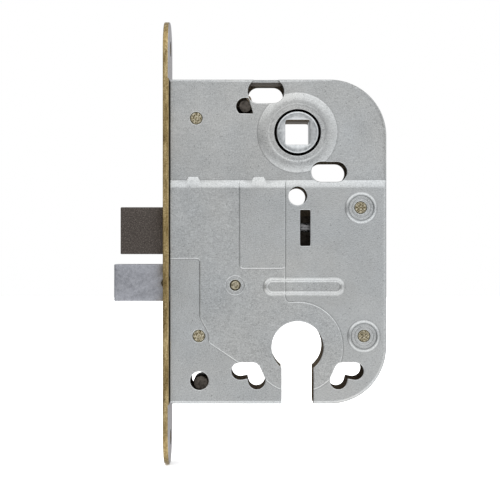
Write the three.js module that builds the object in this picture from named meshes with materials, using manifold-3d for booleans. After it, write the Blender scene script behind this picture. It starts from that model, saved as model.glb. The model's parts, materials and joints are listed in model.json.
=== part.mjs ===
// Mortise lock with a spring latch, a deadbolt, a spindle hub and an open profile-cylinder cut-out.
//
// Millimetres, +Z up. The origin is on the outer face of the forend, in the middle of its width,
// level with the spindle. +X runs into the door, -Y is the side that shows the stamped case.

import * as THREE from "three";
import { mergeVertices } from "three/addons/utils/BufferGeometryUtils.js";
import Module from "manifold-3d";

const wasm = await Module();
wasm.setup();

// ---------------------------------------------------------------- driving dimensions

const BACKSET = 45; // forend face to spindle axis
const CENTRES = 72; // spindle axis down to cylinder axis

const FOREND = { length: 150, width: 22, thickness: 2, top: 38, screwInset: 9 };
const CASE = { front: 2.3, rear: 74.8, top: 17.8, bottom: -91, corner: 19, thickness: 15, sheet: 1.2 };

const GAP = 0.05; // between flat faces that rest on each other
const RUN = 0.3; // around pieces that slide or turn

const FACE = CASE.thickness / 2; // outer faces of the case at y = -FACE and +FACE
const INSIDE = FACE - CASE.sheet; // inner faces of the case sheets
const BEHIND = INSIDE - GAP - RUN / 2; // where the inner pieces end, just short of the back cover
const THROUGH = [-FACE - 2, FACE + 2]; // a cut through everything along y

const HUB = { x: BACKSET, z: 0, boss: 7, body: 9.5, square: 8.2, clear: 0.75, standOut: 0.5 };
const DRIVE_PIN = { x: -22, z: -11, radius: 1.8, near: -1.6, far: 2 }; // from the hub's axis
const DRIVE_ARM = { root: 5.5, tip: 2.5, near: 1.6, far: 5.2 };
const RETURN_LUG = { x: 12.5, z: -4.55, radius: 1.5, halfWidth: 2 }; // from the hub's axis
const HUB_SPRING = { x: 58.6, bottom: -1.3, top: 13.4, outer: 5, wire: 0.7, turns: 6 };
const CYLINDER = { x: BACKSET, z: -CENTRES, radius: 8.65, slot: 10.6 };

const BOLT_HALF_WIDTH = 5.8;
const TAIL = { thickness: 2.5, reach: 6 }; // reach: how far a tail goes into its bolt head
const RIVET_RADIUS = 1.5;

const LATCH = { tip: -14.5, back: 7, top: -25, height: 15.8, rivet: 4, bevelStart: -2.5, nose: 2.6 };
const LATCH_TAIL = { top: -28, bottom: -39.6, end: 54 };
const UPSTAND = { left: 25.1, width: 2.5, top: -10 }; // what the hub's pin pushes
const LATCH_SPRING = { z: -34.8, from: 9.3, outer: 5.6, wire: 0.7, turns: 8 };
const SPRING_STOP = { x: 32.4, radius: 1.5, neck: 1.1, near: -4 };

const DEADBOLT = { tip: -16.7, back: 4, top: -44.2, height: 12.4, rivet: 1, edge: 0.6, travel: 16.5 };
const DEADBOLT_TAIL = { top: -45.2, bottom: -55.6, end: 51, legs: [[32, 37], [46, 51]], legBottom: -61 };
const DETENT = { left: 22.5, right: 36, z: -41.6, thickness: 0.5, halfWidth: 2.2 };
const DETENT_BLOCK = { right: 40, near: -3, bottom: -44, top: -40.2 };

const POST = { shoulder: 2.5, neck: 1.8, clear: 0.1 };
const POSTS = {
  post_front_top: [11, 4.8],
  post_front_bottom: [11.9, -68.2],
  post_rear_top: [66.1, -25.2],
  post_rear_bottom: [67.2, -68.2],
};
const GUIDE_PIN = { x: 24.1, z: -51.2, shoulder: 1.9, neck: 1.7 };

const ROSE_HOLE = { dx: 10.6, dz: 13.2, width: 12, height: 6.7 };
const SCREW_HOLE = { x: BACKSET, z: -21.3, radius: 3.1 };
const CORNER_HOLE = { x: 12.1, z: -83.2, radius: 3.05 };
const PEG_HOLE = { x: 27.4, z: 8.9, radius: 3, flat: -2.5 };
const TAIL_WINDOW = { left: 45.9, right: 49.2, top: -26, bottom: -38 };
const TOP_NOTCH = { halfMouth: 4.4, below: 0.4 };

// The screw hole beside the cylinder: two round lobes and the elbow between, from the cylinder's axis.
const LOBED_HOLE = {
  outer: [19.3, -8], inner: [13.7, -11.2], elbow: [14.9, -7.6], radius: 2.85, waist: 2.45,
};

// Pressed shapes: the foot lies on the sheet, the crest stands proud of it by the rise.
const HUB_RING = { foot: 13.6, crest: 11.2, rise: 0.7 };
const POST_RING = { foot: 5.2, crest: 4.6, rise: 0.4 };
const PIN_RING = { foot: 3.2, crest: 2.8, rise: 0.2 };
const BEAD = { x: 47.2, z: -51.7, length: 27.7, height: 6.6, rise: 0.5 };

const STOP_PEG = { x: 27.5, z: 9, radius: 2.3 };
const BOTTOM_SPACER = { x: 12.6, z: -84.2, radius: 2.7 };

const BRACKET = { depth: 6.6, halfWidth: 5, halfHeight: 3.2, bore: 1.7, top: 12, bottom: -84 };
const CASE_SCREW = { head: 3.4, headDepth: 1.5, inset: 0.15, shank: 1.55, length: 6.6, slot: 0.8 };

// Countersunk holes in the forend: drill radius, mouth radius and depth.
const WOOD_SCREW_HOLE = { drill: 2.6, mouth: 4.8, depth: 1.85 };
const CASE_SCREW_HOLE = { drill: 1.9, mouth: 3.6, depth: 1.7 };
const CYLINDER_SCREW_HOLE = { drill: 2.75, mouth: 4.6, depth: 1.85 };

// ---------------------------------------------------------------- geometry helpers

function solid(geometry) {
  const bare = geometry.clone();
  bare.deleteAttribute("normal");
  bare.deleteAttribute("uv");
  const merged = mergeVertices(bare, 1e-4);
  const mesh = new wasm.Mesh({
    numProp: 3,
    vertProperties: new Float32Array(merged.attributes.position.array),
    triVerts: new Uint32Array(merged.index.array),
  });
  return new wasm.Manifold(mesh);
}

function geometryOf(manifold) {
  const mesh = manifold.getMesh();
  const geometry = new THREE.BufferGeometry();
  geometry.setAttribute("position", new THREE.BufferAttribute(mesh.vertProperties, 3));
  geometry.setIndex(new THREE.BufferAttribute(mesh.triVerts, 1));
  geometry.computeVertexNormals();
  return geometry;
}

// A shape drawn in x and z, as thick as the stretch from y = near to y = far.
function slabGeometry(shape, near, far, curveSegments = 12) {
  const depth = far - near;
  const geometry = new THREE.ExtrudeGeometry(shape, { depth, bevelEnabled: false, curveSegments });
  geometry.rotateX(Math.PI / 2);
  geometry.translate(0, far, 0);
  return geometry;
}

const slab = (shape, near, far, segments) => solid(slabGeometry(shape, near, far, segments));

// A round bar along y, which may taper from one radius to another.
function bar(x, z, radius, near, far, nearRadius = radius, segments = 24) {
  const geometry = new THREE.CylinderGeometry(radius, nearRadius, far - near, segments);
  geometry.translate(x, (near + far) / 2, z);
  return solid(geometry);
}

// A round bar along x, from x = from to x = to, which may taper.
function barAlongX(z, fromRadius, toRadius, from, to, segments = 24) {
  const geometry = new THREE.CylinderGeometry(toRadius, fromRadius, to - from, segments);
  geometry.rotateZ(-Math.PI / 2);
  geometry.translate((from + to) / 2, 0, z);
  return solid(geometry);
}

function block(left, right, near, far, bottom, top) {
  const geometry = new THREE.BoxGeometry(right - left, far - near, top - bottom);
  geometry.translate((left + right) / 2, (near + far) / 2, (bottom + top) / 2);
  return solid(geometry);
}

function polygon(points) {
  return new THREE.Shape(points.map(([x, z]) => new THREE.Vector2(x, z)));
}

// The outline around two circles: a slot when the radii are equal, a tapered arm when they are not.
function armShape([x1, z1], r1, [x2, z2], r2) {
  const along = Math.atan2(z2 - z1, x2 - x1);
  const lean = Math.acos((r1 - r2) / Math.hypot(x2 - x1, z2 - z1));
  const shape = new THREE.Shape();
  shape.absarc(x2, z2, r2, along - lean, along + lean, false);
  shape.absarc(x1, z1, r1, along + lean, along - lean + 2 * Math.PI, false);
  shape.closePath();
  return shape;
}

function slotShape(x, z, width, height) {
  const reach = (width - height) / 2;
  return armShape([x - reach, z], height / 2, [x + reach, z], height / 2);
}

const lessAll = (body, cutters) => cutters.reduce((rest, cutter) => rest.subtract(cutter), body);
const addAll = (body, pieces) => pieces.reduce((sum, piece) => sum.add(piece), body);

// A hole right through for a pin of one radius, with a little clearance.
const pinHole = (x, z, radius) => bar(x, z, radius + POST.clear, ...THROUGH, radius + POST.clear, 20);

class Helix extends THREE.Curve {
  constructor(radius, length, turns) {
    super();
    Object.assign(this, { radius, length, turns });
  }

  getPoint(t, target = new THREE.Vector3()) {
    const angle = 2 * Math.PI * this.turns * t;
    return target.set(this.radius * Math.cos(angle), this.radius * Math.sin(angle), this.length * t);
  }
}

// A coil spring of round wire, standing on z = 0 and as long as its wire's outer ends are apart.
function springGeometry({ outer, wire, length, turns, stepsPerTurn = 10 }) {
  const section = new THREE.Shape();
  section.absarc(0, 0, wire / 2, 0, 2 * Math.PI, false);
  const path = new Helix((outer - wire) / 2, length - 1.4 * wire, turns);
  const steps = Math.round(turns * stepsPerTurn);
  const geometry = new THREE.ExtrudeGeometry(section, { steps, curveSegments: 3, extrudePath: path });
  geometry.translate(0, 0, 0.7 * wire);
  return geometry;
}

// ---------------------------------------------------------------- case

// The case seen from the side: square at the forend, round at the two rear corners.
function caseShape(inset = 0, front = CASE.front) {
  const { rear, top, bottom, corner } = CASE;
  const radius = corner - inset;
  const shape = new THREE.Shape();
  shape.moveTo(front, bottom + inset);
  shape.lineTo(rear - corner, bottom + inset);
  shape.absarc(rear - corner, bottom + corner, radius, -Math.PI / 2, 0, false);
  shape.absarc(rear - corner, top - corner, radius, 0, Math.PI / 2, false);
  shape.lineTo(front, top - inset);
  shape.closePath();
  return shape;
}

// A profile cylinder's cut-out, open at the bottom edge of the case.
function cylinderCut() {
  const { x, z, radius, slot } = CYLINDER;
  const barrel = bar(x, z, radius, ...THROUGH, radius, 44);
  const body = block(x - slot / 2, x + slot / 2, ...THROUGH, CASE.bottom - 2, z);
  return barrel.add(body);
}

function lobedHole(side) {
  const { outer, inner, elbow, radius, waist } = LOBED_HOLE;
  const at = ([dx, dz]) => [CYLINDER.x + side * dx, CYLINDER.z + dz];
  const lobe = (end) => slab(armShape(at(end), radius, at(elbow), waist), ...THROUGH, 5);
  return lobe(outer).add(lobe(inner));
}

// Holes that run through both sides of the case, for the spindle, cylinder and screws.
function throughHoles() {
  const { dx, dz, width, height } = ROSE_HOLE;
  const roseHoles = [1, -1].map((side) =>
    slab(slotShape(HUB.x - side * dx, side * dz, width, height), ...THROUGH, 6));
  return [
    cylinderCut(),
    bar(HUB.x, HUB.z, HUB.boss + HUB.clear, ...THROUGH, HUB.boss + HUB.clear, 40),
    ...roseHoles,
    bar(SCREW_HOLE.x, SCREW_HOLE.z, SCREW_HOLE.radius, ...THROUGH),
    bar(CORNER_HOLE.x, CORNER_HOLE.z, CORNER_HOLE.radius, ...THROUGH),
    lobedHole(-1),
    lobedHole(1),
  ];
}

function postHoles() {
  const holes = Object.values(POSTS).map(([x, z]) => pinHole(x, z, POST.neck));
  return [...holes, pinHole(GUIDE_PIN.x, GUIDE_PIN.z, GUIDE_PIN.neck)];
}

// Raised stampings in the front sheet keep the sheet's thickness: pushed out and hollow behind.
function pressedRing(x, z, { foot, crest, rise }) {
  const out = bar(x, z, foot, -FACE - rise, -FACE, crest, 36);
  const behind = bar(x, z, foot - CASE.sheet / 2, -INSIDE - rise, -INSIDE + 0.01, crest - CASE.sheet / 2, 36);
  return { out, behind };
}

function pressedBead({ x, z, length, height, rise }) {
  const out = slab(slotShape(x, z, length, height), -FACE - rise, -FACE, 6);
  const behind = slab(slotShape(x, z, length - CASE.sheet, height - CASE.sheet),
    -INSIDE - rise, -INSIDE + 0.01, 6);
  return { out, behind };
}

// The D-shaped window that shows the peg beside the upper rose hole.
function pegHole() {
  const { x, z, radius, flat } = PEG_HOLE;
  const start = Math.asin(flat / radius);
  const shape = new THREE.Shape();
  shape.absarc(x, z, radius, start, Math.PI - start, false);
  shape.closePath();
  return slab(shape, -FACE - 2, -INSIDE + 0.5, 8);
}

// Where the upper rose hole runs out into the top edge of the front sheet.
function topNotch() {
  const { dx, dz, width } = ROSE_HOLE;
  const { halfMouth, below } = TOP_NOTCH;
  const x = HUB.x - dx;
  const top = CASE.top - below;
  const outline = [[x - width / 2, dz], [x + width / 2, dz], [x + halfMouth, top], [x - halfMouth, top]];
  return slab(polygon(outline), -FACE - 2, -INSIDE + 0.2);
}

function caseBody() {
  const { left, right, top, bottom } = TAIL_WINDOW;
  const shell = slab(caseShape(), -FACE, INSIDE - GAP);
  const hollow = slab(caseShape(CASE.sheet, CASE.front - 2), -INSIDE, FACE);
  const stampings = [
    pressedRing(HUB.x, HUB.z, HUB_RING),
    pressedBead(BEAD),
    pressedRing(...POSTS.post_rear_top, POST_RING),
    pressedRing(...POSTS.post_rear_bottom, POST_RING),
    pressedRing(GUIDE_PIN.x, GUIDE_PIN.z, PIN_RING),
  ];
  const stamped = addAll(shell.subtract(hollow), stampings.map(({ out }) => out));
  return lessAll(stamped, [
    ...stampings.map(({ behind }) => behind),
    ...throughHoles(),
    ...postHoles(),
    pegHole(),
    topNotch(),
    block(left, right, -FACE - 2, -INSIDE + 0.5, bottom, top),
  ]);
}

function backCover() {
  const sheet = slab(caseShape(), INSIDE, FACE);
  return lessAll(sheet, [
    ...throughHoles(),
    ...postHoles(),
    pinHole(SPRING_STOP.x, LATCH_SPRING.z, SPRING_STOP.neck),
  ]);
}

// A turned post with a shoulder between the sheets and a neck staked flush in each.
function postGeometry([x, z], shoulder = POST.shoulder, neck = POST.neck) {
  const end = FACE + 0.1;
  const rest = BEHIND;
  const profile = [
    [0, -end], [neck, -end], [neck, -rest], [shoulder, -rest],
    [shoulder, rest], [neck, rest], [neck, end], [0, end],
  ];
  const geometry = new THREE.LatheGeometry(profile.map(([r, y]) => new THREE.Vector2(r, y)), 20);
  geometry.translate(x, 0, z);
  return geometry;
}

// ---------------------------------------------------------------- forend

function forendPlate() {
  const { length, width, thickness, top, screwInset } = FOREND;
  const radius = width / 2;
  const bottom = top - length;
  const shape = new THREE.Shape();
  shape.absarc(0, top - radius, radius, 0, Math.PI, false);
  shape.absarc(0, bottom + radius, radius, Math.PI, 2 * Math.PI, false);
  shape.closePath();
  const settings = { depth: thickness, bevelEnabled: false, curveSegments: 14 };
  const geometry = new THREE.ExtrudeGeometry(shape, settings);
  // The shape's x and y become y and z, and its depth runs along x.
  geometry.applyMatrix4(new THREE.Matrix4().set(0, 0, 1, 0, 1, 0, 0, 0, 0, 1, 0, 0, 0, 0, 0, 1));
  const mouths = [LATCH, DEADBOLT].map((bolt) => {
    const half = BOLT_HALF_WIDTH + RUN;
    return block(-1, thickness + 1, -half, half, bolt.top - bolt.height - RUN, bolt.top + RUN);
  });
  const screws = [top - screwInset, bottom + screwInset].map((z) => countersink(z, WOOD_SCREW_HOLE));
  const caseScrews = [BRACKET.top, BRACKET.bottom].map((z) => countersink(z, CASE_SCREW_HOLE));
  const cylinderScrew = countersink(CYLINDER.z, CYLINDER_SCREW_HOLE);
  return lessAll(solid(geometry), [...mouths, ...screws, ...caseScrews, cylinderScrew]);
}

// A drilled and countersunk hole through the forend at one height, cut from just outside its face.
function countersink(z, { drill, mouth, depth }) {
  const outside = 0.1;
  const widening = (mouth - drill) * outside / depth;
  const hole = barAlongX(z, drill, drill, -1, FOREND.thickness + 1);
  return hole.add(barAlongX(z, mouth + widening, drill, -outside, depth));
}

// The tapped block behind the forend that one case screw pulls against.
function bracket(z) {
  const { depth, halfWidth, halfHeight, bore } = BRACKET;
  const from = FOREND.thickness + GAP;
  const body = block(from, from + depth, -halfWidth, halfWidth, z - halfHeight, z + halfHeight);
  return body.subtract(barAlongX(z, bore, bore, from - 1, from + depth + 1));
}

function caseScrew(z) {
  const { head, headDepth, inset, shank, length, slot } = CASE_SCREW;
  const end = inset + headDepth;
  const cone = barAlongX(z, head, shank + 0.25, inset, end, 20);
  const thread = barAlongX(z, shank, shank, end - 0.05, end + length, 16);
  const slotCut = block(0, inset + headDepth * 0.4, -head - 1, head + 1, z - slot / 2, z + slot / 2);
  return cone.add(thread).subtract(slotCut);
}

// ---------------------------------------------------------------- spindle hub and its spring

// The hub: a round body with two bosses, a square hole, the latch's drive arm and a lug for its spring.
function hub() {
  const { x, z, boss, body, square, standOut } = HUB;
  const { root, tip, near, far } = DRIVE_ARM;
  const centre = [x, z];
  const pinAt = [x + DRIVE_PIN.x, z + DRIVE_PIN.z];
  const lugAt = [x + RETURN_LUG.x, z + RETURN_LUG.z];
  const pieces = [
    bar(x, z, boss, -FACE - standOut, FACE + standOut, boss, 40),
    slab(armShape(centre, root, pinAt, tip), near, far, 6),
    bar(...pinAt, DRIVE_PIN.radius, DRIVE_PIN.near, DRIVE_PIN.far, DRIVE_PIN.radius, 16),
    slab(armShape(centre, root, lugAt, RETURN_LUG.radius), -RETURN_LUG.halfWidth, RETURN_LUG.halfWidth, 6),
  ];
  const solidHub = addAll(bar(x, z, body, -INSIDE + RUN, INSIDE - RUN, body, 40), pieces);
  const half = square / 2;
  return solidHub.subtract(block(x - half, x + half, ...THROUGH, z - half, z + half));
}

function hubSpring() {
  const { x, bottom, top, outer, wire, turns } = HUB_SPRING;
  const geometry = springGeometry({ outer, wire, length: top - bottom, turns });
  geometry.translate(x, 0, bottom);
  return geometry;
}

// ---------------------------------------------------------------- latch bolt

const rivetZ = (bolt) => bolt.top - bolt.height / 2;

// A bolt head is a bar seen from above, with a slot behind for its tail and a hole for the rivet.
function boltHead(outline, bolt) {
  const { back, top, height, rivet } = bolt;
  const geometry = new THREE.ExtrudeGeometry(polygon(outline), { depth: height, bevelEnabled: false });
  geometry.translate(0, 0, top - height);
  const half = TAIL.thickness / 2 + GAP;
  const slotCut = block(back - TAIL.reach, back + 1, -half, half, top - height - 1, top + 1);
  return lessAll(solid(geometry), [slotCut, pinHole(rivet, rivetZ(bolt), RIVET_RADIUS)]);
}

function boltRivet(bolt) {
  const half = BOLT_HALF_WIDTH - 0.2;
  return bar(bolt.rivet, rivetZ(bolt), RIVET_RADIUS, -half, half);
}

// A tail plate that starts inside its bolt head.
function tailPlate(bolt, { top, bottom, end }) {
  const half = TAIL.thickness / 2;
  return block(bolt.back - TAIL.reach + GAP, end, -half, half, bottom, top);
}

function latchHead() {
  const half = BOLT_HALF_WIDTH;
  const { tip, back, bevelStart, nose } = LATCH;
  return boltHead([[tip, -half], [back, -half], [back, half], [bevelStart, half], [tip, nose - half]], LATCH);
}

// The latch's tail plate, with a window for the spring and an upstand for the hub's pin.
function latchTail() {
  const half = TAIL.thickness / 2;
  const { left, width, top } = UPSTAND;
  const upstand = block(left, left + width, -half, half, LATCH_TAIL.top - 1, top);
  const { z, from, outer } = LATCH_SPRING;
  const reach = outer / 2 + RUN;
  const end = SPRING_STOP.x + SPRING_STOP.radius + RUN;
  const window = block(from - RUN, end, ...THROUGH, z - reach, z + reach);
  const rivetHole = pinHole(LATCH.rivet, rivetZ(LATCH), RIVET_RADIUS);
  return lessAll(tailPlate(LATCH, LATCH_TAIL).add(upstand), [window, rivetHole]);
}

function latchSpring() {
  const { z, from, outer, wire, turns } = LATCH_SPRING;
  const length = SPRING_STOP.x - SPRING_STOP.radius - RUN - from;
  const geometry = springGeometry({ outer, wire, length, turns });
  geometry.rotateY(Math.PI / 2);
  geometry.translate(from, 0, z);
  return geometry;
}

// The fixed post that the latch spring pushes against, riveted into the back cover.
function latchSpringStop() {
  const { x, radius, neck, near } = SPRING_STOP;
  const shoulder = bar(x, LATCH_SPRING.z, radius, near, BEHIND, radius, 16);
  return shoulder.add(bar(x, LATCH_SPRING.z, neck, 0, FACE - GAP, neck, 16));
}

// ---------------------------------------------------------------- deadbolt

function deadboltHead() {
  const half = BOLT_HALF_WIDTH;
  const { tip, back, edge } = DEADBOLT;
  return boltHead([
    [tip, edge - half], [tip + edge, -half], [back, -half],
    [back, half], [tip + edge, half], [tip, half - edge],
  ], DEADBOLT);
}

// The deadbolt's tail plate: a slot runs on the guide pin, and a cylinder's cam turns between the legs.
function deadboltTail() {
  const { bottom, legs, legBottom } = DEADBOLT_TAIL;
  const half = TAIL.thickness / 2;
  const drive = legs.map(([left, right]) => block(left, right, -half, half, legBottom, bottom + 1));
  const { x, z, shoulder } = GUIDE_PIN;
  const radius = shoulder + RUN / 2;
  const slot = slab(armShape([x - DEADBOLT.travel, z], radius, [x, z], radius), ...THROUGH, 6);
  const rivetHole = pinHole(DEADBOLT.rivet, rivetZ(DEADBOLT), RIVET_RADIUS);
  return lessAll(addAll(tailPlate(DEADBOLT, DEADBOLT_TAIL), drive), [slot, rivetHole]);
}

// The leaf spring that presses on the deadbolt's tail: a shallow wave with a bump at its free end.
function detentSpring() {
  const { left, right, z, thickness, halfWidth } = DETENT;
  const low = DEADBOLT_TAIL.top + RUN;
  const shape = new THREE.Shape();
  const lower = new THREE.CubicBezierCurve(
    new THREE.Vector2(right - GAP, z), new THREE.Vector2(right - 5, z),
    new THREE.Vector2(left + 6, low), new THREE.Vector2(left, low + 2));
  const points = lower.getPoints(14);
  points.forEach((point, index) => (index ? shape.lineTo(point.x, point.y) : shape.moveTo(point.x, point.y)));
  points.reverse().forEach((point) => shape.lineTo(point.x, point.y + thickness));
  shape.closePath();
  return slabGeometry(shape, -halfWidth, halfWidth);
}

function detentBlock() {
  const { right, near, bottom, top } = DETENT_BLOCK;
  return block(DETENT.right, right, near, BEHIND, bottom, top);
}

// ---------------------------------------------------------------- small fixed pieces

// A plain round piece that stands on the back cover and ends short of the front sheet.
const standingPin = ({ x, z, radius }) => bar(x, z, radius, -INSIDE + RUN, BEHIND);

// ---------------------------------------------------------------- assembly

const FINISH = {
  zincSheet: { color: 0xaab0b2, roughness: 0.42, metalness: 0.9 },
  brassForend: { color: 0x9a875f, roughness: 0.38, metalness: 0.95 },
  sinteredSteel: { color: 0x514c48, roughness: 0.62, metalness: 0.7 },
  castZinc: { color: 0x969ba1, roughness: 0.48, metalness: 0.85 },
  hubSteel: { color: 0xa2a8aa, roughness: 0.36, metalness: 0.95 },
  turnedSteel: { color: 0xb3ad98, roughness: 0.34, metalness: 0.95 },
  springSteel: { color: 0x6f7072, roughness: 0.4, metalness: 0.9 },
  darkSteel: { color: 0x4a4642, roughness: 0.55, metalness: 0.8 },
};

const lock = new THREE.Group();

function place(name, shape, finish) {
  const geometry = shape instanceof THREE.BufferGeometry ? shape : geometryOf(shape);
  const mesh = new THREE.Mesh(geometry, new THREE.MeshStandardMaterial(finish));
  mesh.name = name;
  lock.add(mesh);
}

place("case_body", caseBody(), FINISH.zincSheet);
place("back_cover", backCover(), FINISH.zincSheet);
place("forend", forendPlate(), FINISH.brassForend);
place("forend_bracket_top", bracket(BRACKET.top), FINISH.darkSteel);
place("forend_bracket_bottom", bracket(BRACKET.bottom), FINISH.darkSteel);
place("case_screw_top", caseScrew(BRACKET.top), FINISH.turnedSteel);
place("case_screw_bottom", caseScrew(BRACKET.bottom), FINISH.turnedSteel);
for (const [name, at] of Object.entries(POSTS)) {
  place(name, postGeometry(at), FINISH.turnedSteel);
}
place("bolt_guide_pin", postGeometry([GUIDE_PIN.x, GUIDE_PIN.z], GUIDE_PIN.shoulder, GUIDE_PIN.neck),
  FINISH.turnedSteel);
place("stop_peg", standingPin(STOP_PEG), FINISH.darkSteel);
place("bottom_spacer", standingPin(BOTTOM_SPACER), FINISH.darkSteel);

place("hub", hub(), FINISH.hubSteel);
place("hub_spring", hubSpring(), FINISH.springSteel);

place("latch_head", latchHead(), FINISH.sinteredSteel);
place("latch_tail", latchTail(), FINISH.darkSteel);
place("latch_rivet", boltRivet(LATCH), FINISH.turnedSteel);
place("latch_spring", latchSpring(), FINISH.springSteel);
place("latch_spring_stop", latchSpringStop(), FINISH.turnedSteel);

place("deadbolt_head", deadboltHead(), FINISH.castZinc);
place("deadbolt_tail", deadboltTail(), FINISH.darkSteel);
place("deadbolt_rivet", boltRivet(DEADBOLT), FINISH.turnedSteel);
place("detent_spring", detentSpring(), FINISH.springSteel);
place("detent_block", detentBlock(), FINISH.darkSteel);

export default lock;
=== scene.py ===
"""Looks of a mortise lock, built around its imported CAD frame. Sizes below are in millimetres."""

import json
import math

import bmesh
import bpy
import numpy as np
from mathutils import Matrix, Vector
from mathutils.geometry import delaunay_2d_cdt


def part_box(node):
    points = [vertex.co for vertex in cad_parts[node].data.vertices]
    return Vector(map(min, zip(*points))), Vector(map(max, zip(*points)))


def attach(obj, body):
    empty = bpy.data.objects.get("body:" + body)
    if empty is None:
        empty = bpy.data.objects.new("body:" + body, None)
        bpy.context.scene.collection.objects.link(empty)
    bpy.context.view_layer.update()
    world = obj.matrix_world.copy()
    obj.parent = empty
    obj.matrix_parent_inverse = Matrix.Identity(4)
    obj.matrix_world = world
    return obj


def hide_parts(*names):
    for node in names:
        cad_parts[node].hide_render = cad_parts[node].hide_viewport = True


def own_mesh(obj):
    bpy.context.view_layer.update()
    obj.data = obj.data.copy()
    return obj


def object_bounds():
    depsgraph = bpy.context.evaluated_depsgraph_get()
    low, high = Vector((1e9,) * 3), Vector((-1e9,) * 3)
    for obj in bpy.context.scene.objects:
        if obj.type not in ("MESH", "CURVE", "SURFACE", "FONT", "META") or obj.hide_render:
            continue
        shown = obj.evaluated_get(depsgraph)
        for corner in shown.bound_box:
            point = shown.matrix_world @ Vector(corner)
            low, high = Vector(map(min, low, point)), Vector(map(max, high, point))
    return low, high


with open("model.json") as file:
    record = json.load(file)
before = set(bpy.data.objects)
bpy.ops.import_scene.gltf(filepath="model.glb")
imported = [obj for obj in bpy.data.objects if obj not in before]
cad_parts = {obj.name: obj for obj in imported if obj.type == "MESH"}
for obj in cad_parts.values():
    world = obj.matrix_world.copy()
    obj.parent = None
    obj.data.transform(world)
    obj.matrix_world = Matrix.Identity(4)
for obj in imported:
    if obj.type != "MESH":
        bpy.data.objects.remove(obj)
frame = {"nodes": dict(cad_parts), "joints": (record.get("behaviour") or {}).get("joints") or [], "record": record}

cad_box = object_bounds()

MM = 0.001


# ---------------- sizes taken from the frame

def box_mm(node):
    low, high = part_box(node)
    return np.array(low) / MM, np.array(high) / MM


CASE_LOW, CASE_HIGH = box_mm("case_body")
COVER_LOW, COVER_HIGH = box_mm("back_cover")
FOREND_LOW, FOREND_HIGH = box_mm("forend")
FRONT, REAR = CASE_LOW[0] + 0.1, CASE_HIGH[0]
BOTTOM, TOP = CASE_LOW[2], CASE_HIGH[2]
FACE = COVER_HIGH[1]  # the case's outer faces stand at y = -FACE and +FACE
CORNER = 19.0  # radius of the two rear corners
SHEET = 0.9  # thickness of the stamped sheet
BEND = 0.9  # outer radius where the front sheet turns into the walls

joint_at = {joint["name"]: joint.get("pos_m") for joint in frame["joints"]}
HUB = np.array([joint_at["hub_turn"][0], joint_at["hub_turn"][2]]) / MM
CYLINDER = HUB + (0, -72)


def piece_name(node):
    return node.replace("_", "-")


def centre_of(node):
    low, high = box_mm(node)
    return np.array([(low[0] + high[0]) / 2, (low[2] + high[2]) / 2])


POSTS = ["post_front_top", "post_front_bottom", "post_rear_top", "post_rear_bottom"]
CASE_SCREWS = ["case_screw_top", "case_screw_bottom"]
REAR_TOP, REAR_BOTTOM = centre_of("post_rear_top"), centre_of("post_rear_bottom")
GUIDE_PIN = centre_of("bolt_guide_pin")

# ---------------- flat outlines, as arrays of x and z


def circle(centre, radius, count=72):
    turn = np.linspace(0, 2 * math.pi, count, endpoint=False)
    return np.array(centre) + radius * np.stack([np.cos(turn), np.sin(turn)], 1)


def arc(centre, radius, start, end, count):
    turn = np.radians(np.linspace(start, end, count))
    return np.array(centre) + radius * np.stack([np.cos(turn), np.sin(turn)], 1)


def arm(centre_a, radius_a, centre_b, radius_b, count=14):
    """The outline around two circles."""
    a, b = np.array(centre_a, float), np.array(centre_b, float)
    reach = b - a
    along = math.degrees(math.atan2(reach[1], reach[0]))
    lean = math.degrees(math.acos((radius_a - radius_b) / np.hypot(*reach)))
    ends = [arc(b, radius_b, along - lean, along + lean, count),
            arc(a, radius_a, along + lean, along - lean + 360, count)]
    return np.concatenate(ends)


def slot(centre, width, height, count=14):
    shift = np.array([(width - height) / 2, 0])
    return arm(centre - shift, height / 2, centre + shift, height / 2, count)


def rectangle(left, bottom, right, top, grow=0):
    return np.array([(left - grow, bottom - grow), (right + grow, bottom - grow),
                     (right + grow, top + grow), (left - grow, top + grow)])


def rounded(corners, radii):
    """A closed outline through corners, each rounded by its own radius, 0 for a sharp one."""
    points = []
    for i, here in enumerate(corners):
        here = np.array(here, float)
        before = np.array(corners[i - 1], float) - here
        after = np.array(corners[(i + 1) % len(corners)], float) - here
        before, after = before / np.hypot(*before), after / np.hypot(*after)
        radius = radii[i] if hasattr(radii, "__len__") else radii
        if radius == 0:
            points.append(here)
            continue
        half = math.acos(np.clip(before @ after, -1, 1)) / 2
        reach = radius / math.tan(half)
        for t in np.linspace(0, 1, 6):
            points.append(here + before * reach * (1 - t) ** 2 + after * reach * t ** 2)
    return np.array(points)


def grown(outline, by):
    """A closed outline pushed outwards, or inwards where by is negative."""
    before = outline - np.roll(outline, 1, 0)
    after = np.roll(outline, -1, 0) - outline
    normals = []
    for edge in (before, after):
        length = np.hypot(edge[:, 0], edge[:, 1])[:, None]
        normals.append(np.stack([edge[:, 1], -edge[:, 0]], 1) / np.maximum(length, 1e-9))
    middle = normals[0] + normals[1]
    middle /= np.maximum((middle * normals[0]).sum(1)[:, None], 0.3)
    area = (outline[:, 0] * np.roll(outline[:, 1], -1) - np.roll(outline[:, 0], -1) * outline[:, 1]).sum()
    return outline + middle * by * math.copysign(1, area)


def inside(points, outline):
    """Which points lie inside a closed outline."""
    a, b = outline, np.roll(outline, -1, 0)
    x, z = points[:, 0][:, None], points[:, 1][:, None]
    crosses = (a[:, 1] > z) != (b[:, 1] > z)
    rise = np.where(b[:, 1] == a[:, 1], 1e-12, b[:, 1] - a[:, 1])
    meets = x < (b[:, 0] - a[:, 0]) * (z - a[:, 1]) / rise + a[:, 0]
    return ((crosses & meets).sum(1) % 2) == 1


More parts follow.
